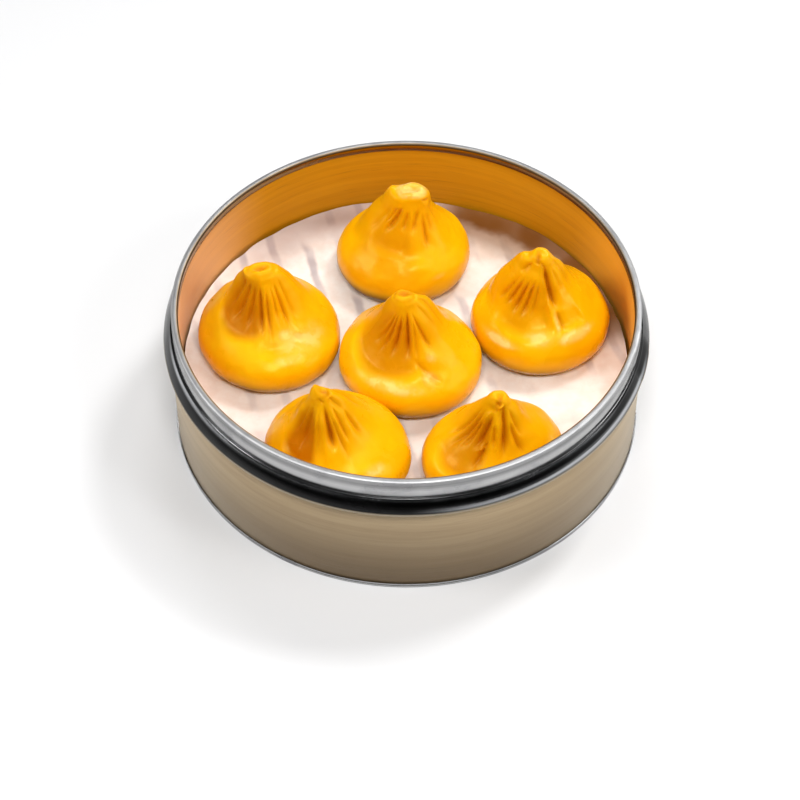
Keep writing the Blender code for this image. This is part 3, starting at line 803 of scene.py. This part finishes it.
def skinPoint(shape, azimuth, place):
    # the plain skin before its folds: azimuth in degrees, place from 0 (base) to 15 (dimple)
    up = np.maximum(alongSide(sideUp, place), 0.0)
    climb = place / dough["knotPlace"]
    turn = np.radians(azimuth)
    knotted = smoothStep(0.85, 1.05, climb)
    knotShare = shape["knotWidth"] / shape["width"] / dough["knotRing"]
    fanMiddle = sum(shape["fan"]) / 2
    fanHalf = (shape["fan"][1] - shape["fan"][0]) / 2
    facing = np.radians(np.abs(turnFrom(azimuth, fanMiddle))) * 90 / (fanHalf + dough["spread"])
    frontSide = np.cos(np.minimum(np.pi / 2, facing))
    ovalShare, ovalSide = shape["oval"]
    bulge, bulgeSide = shape["shoulder"]
    narrow, broadSide = shape["narrow"]
    side = np.maximum(0.0, np.cos(np.radians(azimuth - bulgeSide)))
    neck = smoothStep(0.55, 0.85, climb) * (1 - smoothStep(0.9, 1.2, climb))
    lobes = np.sin(3 * turn + shape["seed"]) + 0.6 * np.sin(5 * turn + 2 * shape["seed"])
    reach = np.maximum(alongSide(sideOut, place), 0.0) * shape["width"] / 2
    reach *= 1 + (knotShare - 1) * knotted
    reach *= 1 + bulge * side ** 2 * neck
    reach *= 1 + ovalShare * np.cos(2 * np.radians(azimuth - ovalSide)) * (1 - smoothStep(0.6, 0.8, climb))
    reach *= 1 - shape["hollow"] * frontSide * np.sin(np.pi * smoothStep(0.4, 1.05, climb))
    reach *= 1 + dough["lobes"] * lobes * smoothStep(0.9, 1.05, climb)
    reach *= 1 - narrow * np.sin(np.radians(azimuth - broadSide)) ** 2 * knotted
    lean = smoothStep(0.1, 1.0, up)
    x = shape["knot"][0] * lean + reach * np.cos(turn)
    y = shape["knot"][1] * lean + reach * np.sin(turn)
    rise = up * shape["height"]
    for nubX, nubY, size, height, kept in shape["nubs"]:
        far = ((x - shape["knot"][0] - nubX) ** 2 + (y - shape["knot"][1] - nubY) ** 2) / size ** 2
        onKnot = 1 - (1 - kept) * smoothStep(1.0, 1.12, climb)
        rise = rise + height * np.exp(-far) * smoothStep(0.55, 0.85, climb) * onKnot
    return np.stack([(shape["middle"][0] + x) * mm, (shape["middle"][1] + y) * mm,
                     dough["base"] + rise * mm], axis=-1)


def placeOfHeight(up):
    # where along the side view a height share is reached, from the belly up
    places = np.linspace(4, 14, 400)
    return float(np.interp(up, alongSide(sideUp, places), places))


def skinNormal(shape, azimuth, place):
    step = 0.02
    around = skinPoint(shape, azimuth + 0.5, place) - skinPoint(shape, azimuth - 0.5, place)
    above = skinPoint(shape, azimuth, np.minimum(place + step, 14.99))
    normal = np.cross(around, above - skinPoint(shape, azimuth, np.maximum(place - step, 0.01)))
    length = np.linalg.norm(normal, axis=1, keepdims=True)
    return np.where(length > 1e-12, normal / np.maximum(length, 1e-12), np.array([0.0, 0.0, 1.0]))


def pressFold(shape, fold, points):
    # depth of one fold at every point: a soft trough with a narrow crease in it, opening out at its foot
    azTop, upTop, azFoot, upFoot, depth, halfWidth = fold
    steps = dough["foldSteps"]
    share = np.linspace(0, 1, steps + 1)
    azimuths = azTop + (azFoot - azTop) * share
    places = placeOfHeight(upTop) + (placeOfHeight(upFoot) - placeOfHeight(upTop)) * share
    line = skinPoint(shape, azimuths, places)
    best = np.full(len(points), 1.0)
    along = np.zeros(len(points))
    for index in range(steps):
        start, end = line[index], line[index + 1]
        way = end - start
        part = np.clip((points - start) @ way / (way @ way), 0, 1)
        distance = np.linalg.norm(points - start - part[:, None] * way, axis=1)
        closer = distance < best
        best = np.where(closer, distance, best)
        along = np.where(closer, (index + part) / steps, along)
    strength = smoothStep(-0.1, 0.35, along) * (1 - smoothStep(0.6, 1.0, along))
    halfWidth = halfWidth * mm * (0.6 + 0.7 * along)
    trough = 0.45 * np.exp(-(best / (2.1 * halfWidth)) ** 2)
    return depth * mm * strength * (trough + 0.55 * np.exp(-(best / (0.8 * halfWidth)) ** 1.5))


def pressFolds(shape, skin):
    # how deep all the folds press the skin, and how creased it is
    above = skin[:, 2] > dough["base"] + dough["foldFloor"] * shape["height"] * mm
    folds = list(shape["folds"])
    first, last = shape["fan"]
    upTop, upFoot, rearDepth, rearWidth = dough["rearFold"]
    for index in range(1, shape["rear"]):  # shallow folds behind, out of the front's sight
        turn = last + 8 + (344 - last + first) * index / shape["rear"]
        folds.append((turn, upTop, turn + 5 * (-1) ** index, upFoot, rearDepth, rearWidth))
    valleys, sunk, crease = np.zeros((3, len(skin)))
    for fold in folds:
        depth = np.zeros(len(skin))
        depth[above] = pressFold(shape, fold, skin[above])
        valleys += np.maximum(depth / mm, 0) ** 3
        sunk += np.minimum(depth, 0)
        crease = np.maximum(crease, depth / (dough["creaseDepth"] * mm))
    return sunk + valleys ** (1 / 3) * mm, crease  # where folds meet, the deepest rules


def pressBowl(bowl, azimuth, up, out):
    first, last, footFirst, footLast, sag, top, depth, tone = bowl
    across = (azimuth - first) % 360 / ((last - first) % 360)
    inside = np.clip(across, 0, 1)
    foot = footFirst + (footLast - footFirst) * inside - sag * np.sin(np.pi * inside)
    side = smoothStep(0, 0.28, across) * (1 - smoothStep(0.8, 1.0, across))
    scoop = side * smoothStep(foot - 0.025, foot + 0.06, up) * (1 - smoothStep(top - 0.15, top, up))
    lip = side * 0.07 * np.exp(-((up - foot + 0.04) / 0.04) ** 2)
    return (scoop * np.minimum(1.0, 1.3 * out) - lip) * depth * mm, scoop * tone


def pressKnot(shape, skin, place):
    # the knot's soft dimple, pressed longer one way, and how far its tilted top and the dimple sink
    x, y, depth, longHalf, shortHalf, turn, sharpness = shape["dimple"]
    centre = skin[np.argmax(place)] + np.array([x, y, 0]) * mm
    dx, dy = skin[:, 0] - centre[0], skin[:, 1] - centre[1]
    turn = math.radians(turn)
    far = ((dx * math.cos(turn) + dy * math.sin(turn)) / (longHalf * mm)) ** 2
    far += ((dy * math.cos(turn) - dx * math.sin(turn)) / (shortHalf * mm)) ** 2
    top = smoothStep(*dough["knotTop"], place)
    pressed = top * np.exp(-far ** sharpness)
    drop, turn = shape["tilt"]
    turn = math.radians(turn)
    across = (dx * math.cos(turn) + dy * math.sin(turn)) / (shape["knotWidth"] * mm)
    return pressed, top * drop * mm * (across + 0.5) + pressed * depth * mm


def smallLumps(shape, skin):
    lumps = np.empty(len(skin))
    for index, point in enumerate(skin.tolist()):
        spot = Vector(point) + Vector((shape["seed"], 0, 0))
        lumps[index] = (noise.noise(spot / dough["lumpSize"]) * dough["lumpHeight"]
                        + noise.noise(spot / dough["rippleSize"]) * dough["rippleHeight"])
    return lumps


def paintDumpling(mesh, shape, azimuth, up, crease):
    knotted = smoothStep(0.88, 0.97, up)
    dry = (shape["dry"][0] + 0.06 * smoothStep(0.5, 0.8, up)) * (1 - knotted) + shape["dry"][1] * knotted
    leftSide = smoothStep(-0.3, 0.9, np.cos(np.radians(azimuth - dough["soakSide"])))
    # painted shade low on the foot, and a painted shadow low on the left
    soak = (1 - smoothStep(0.02, 0.29, up)) * shape["soak"][0] * (0.75 + 0.25 * leftSide)
    dark = (1 - smoothStep(0.09, 0.24, up)) * shape["soak"][1] * leftSide
    pale = np.zeros(len(up))
    # painted highlights
    for *patch, share in shape["pale"]:
        pale = np.maximum(pale, share * np.exp(-patchDistance(azimuth, up, *patch) ** 1.5))
    for label, values in dict(crease=crease, height=up, dry=dry, soak=soak, dark=dark, pale=pale).items():
        layer = mesh.attributes.new(label, "FLOAT", "POINT")
        layer.data.foreach_set("value", np.clip(values, 0, 1).astype(np.float32))


def roundBlank():
    # a closed ball from a grid, its poles at the base and the knot
    builder = bmesh.new()
    bmesh.ops.create_grid(builder, x_segments=dough["columns"], y_segments=dough["rings"], size=1.0)
    for vert in builder.verts:
        turn, rise = math.pi * vert.co.x, math.pi / 2 * vert.co.y
        vert.co = (math.cos(turn) * math.cos(rise), math.sin(turn) * math.cos(rise), math.sin(rise))
    bmesh.ops.remove_doubles(builder, verts=builder.verts, dist=1e-5)
    return builder


def makeDumpling(name, shape, material):
    piece = makePiece(name, roundBlank(), material, [shape["node"]], sharp=180)
    mesh = piece.data
    points = np.empty(len(mesh.vertices) * 3)
    mesh.vertices.foreach_get("co", points)
    points = points.reshape(-1, 3)
    place = np.arccos(np.clip(-points[:, 2], -1, 1)) / np.pi * 15
    azimuth = np.degrees(np.arctan2(points[:, 1], points[:, 0]))
    skin = skinPoint(shape, azimuth, place)
    up = np.maximum(alongSide(sideUp, place), 0.0)
    sunk, crease = pressFolds(shape, skin)
    for bowl in shape["bowls"]:
        pressed, tone = pressBowl(bowl, azimuth, up, alongSide(sideOut, place))
        sunk += pressed
        # the bowls add painted shade to the crease colour
        crease = 1 - (1 - np.clip(crease, 0, 1)) * (1 - tone)
    crease = np.clip(crease, 0, 1) * (1 - 0.3 * smoothStep(0.6, 0.8, up))
    for *patch, depth in shape["lumps"]:
        sunk += depth * mm * np.exp(-patchDistance(azimuth, up, *patch)) * (place < 13)
    dimpled, drop = pressKnot(shape, skin, place)
    crease = np.maximum(crease, 0.8 * dimpled)
    lumps = smallLumps(shape, skin) * smoothStep(0.02, 0.15, up)
    finished = skin + skinNormal(shape, azimuth, place) * (lumps - sunk)[:, None]
    finished[:, 2] -= drop
    finished[:, 2] = np.clip(finished[:, 2], dough["base"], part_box(shape["node"])[1].z)
    mesh.vertices.foreach_set("co", finished.ravel())
    paintDumpling(mesh, shape, azimuth, up, crease)
    mesh.update()
    return piece


def doughMaterial():
    material, tree, shader, place = startMaterial("eggDough")
    tone = clouds(tree, place, 75.0, 3.0, 0.5)
    wet = clouds(tree, place, 220.0, 2.0, 0.5)
    speckled = multiply(tree, painted(tree, "pale"), add(tree, ramp(tree, wet, 0.42, 0.6), 0.5), clamp=True)
    colour = layColours(tree, (0.95, 0.455, 0.0008), [
        (ramp(tree, tone, 0.35, 0.65), (0.97, 0.51, 0.0015)),
        (ramp(tree, painted(tree, "height"), 0.42, 0.7), (0.95, 0.425, 0.0006)),  # more orange towards the top: thinner dough, and painted shade
        (painted(tree, "soak"), (0.52, 0.25, 0.0006)),  # painted shade, darker where it sits
        # painted shadow under the lower left
        (painted(tree, "dark"), (0.1, 0.045, 0.002)),
        # painted shade in the folds, bowls and dimple
        (multiply(tree, painted(tree, "crease"), 0.92), (0.5, 0.12, 0.0003)),
        # painted highlights
        (speckled, (1.0, 0.72, 0.22))])
    sheen = multiply(tree, ramp(tree, tone, 0.4, 0.6), 0.1)
    rough = add(tree, add(tree, multiply(tree, wet, 0.14), 0.13), add(tree, sheen, painted(tree, "dry")))
    for label, value in {"Specular IOR Level": 0.4, "Specular Tint": (1.0, 0.75, 0.2, 1.0),
                         "Subsurface Weight": 0.12, "Subsurface Radius": (1.0, 0.45, 0.1),
                         "Subsurface Scale": 0.002}.items():
        shader.inputs[label].default_value = value
    finishShader(tree, shader, colour, rough, clouds(tree, place, 420.0, 3.0, 0.5), 0.12, 0.0005)
    return material


eggDough = doughMaterial()
for label, shape in dumplings.items():
    makeDumpling(label + "Dumpling", shape, eggDough)
    print("dumpling shaped:", label)


studio = {
    "floorSize": 3.0,
    "floorTone": (0.86, 0.86, 0.865),
    "lamps": {  # place, size across and up, power
        "key": ((0.44, 0.46, 0.95), (0.24, 0.24), 4.8),
        "rear": ((0.0, 0.62, 0.93), (0.5, 0.34), 2.4),
        "front": ((0.0, -0.5, 0.92), (0.36, 0.24), 4.8),
        "side": ((0.5, -0.35, 0.72), (0.2, 0.2), 1.2),
        "left": ((-0.85, -0.12, 0.66), (0.4, 0.4), 3.8),
        "right": ((0.95, -0.25, 0.45), (0.5, 0.4), 2.4),
    },
    "lampsAim": (0, 0, 0.04),
    "sky": [(0.0, 0.02), (0.56, 0.02), (0.70, 0.15), (1.0, 0.15)],  # grey from the horizon up
}


def makeStudio():
    builder = bmesh.new()
    bmesh.ops.create_grid(builder, x_segments=8, y_segments=8, size=studio["floorSize"] / 2)
    mesh = bpy.data.meshes.new("studioFloor")
    builder.to_mesh(mesh)
    builder.free()
    material, tree, shader, place = startMaterial("paleFloor")
    shader.inputs["Base Color"].default_value = (*studio["floorTone"], 1.0)
    shader.inputs["Roughness"].default_value = 0.6
    mesh.materials.append(material)
    floor = bpy.data.objects.new("studioFloor", mesh)
    bpy.context.scene.collection.objects.link(floor)
    for name, (place, size, power) in studio["lamps"].items():
        lamp = bpy.data.lights.new(name + "Light", "AREA")
        lamp.shape = "ELLIPSE"
        lamp.size, lamp.size_y = size
        lamp.energy = power
        place = Vector(place)
        light = bpy.data.objects.new(name + "Light", lamp)
        light.location = place
        light.rotation_euler = (Vector(studio["lampsAim"]) - place).to_track_quat("-Z", "Y").to_euler()
        bpy.context.scene.collection.objects.link(light)
    world = bpy.data.worlds.new("studioWorld")
    world.use_nodes = True
    bpy.context.scene.world = world
    tree = world.node_tree
    upwards = axes(tree, addNode(tree, "ShaderNodeTexCoord").outputs["Generated"])["Z"]
    sky = colourStops(tree, upwards, [(position, (level, level, level)) for position, level in studio["sky"]])
    tree.links.new(sky, tree.nodes["Background"].inputs["Color"])


photo = {
    "size": 800,  # pixels
    "focal": 2263.3,  # pixels
    "middle": (-6.46, 2.26),  # shift in pixels
    "rise": math.radians(49.106),
    "distance": 0.9,
    "sensor": 36.0,
}


def makeCamera():
    lens = bpy.data.cameras.new("photoCamera")
    lens.sensor_width = photo["sensor"]
    lens.lens = photo["sensor"] * photo["focal"] / photo["size"]
    lens.shift_x, lens.shift_y = (shift / photo["size"] for shift in photo["middle"])
    lens.clip_start = 0.01
    camera = bpy.data.objects.new("photoCamera", lens)
    rise, distance = photo["rise"], photo["distance"]
    camera.location = (0, -distance * math.cos(rise), distance * math.sin(rise))
    camera.rotation_euler = (math.pi / 2 - rise, 0, 0)
    bpy.context.scene.collection.objects.link(camera)
    bpy.context.scene.camera = camera


makeStudio()
makeCamera()
print("studio set")
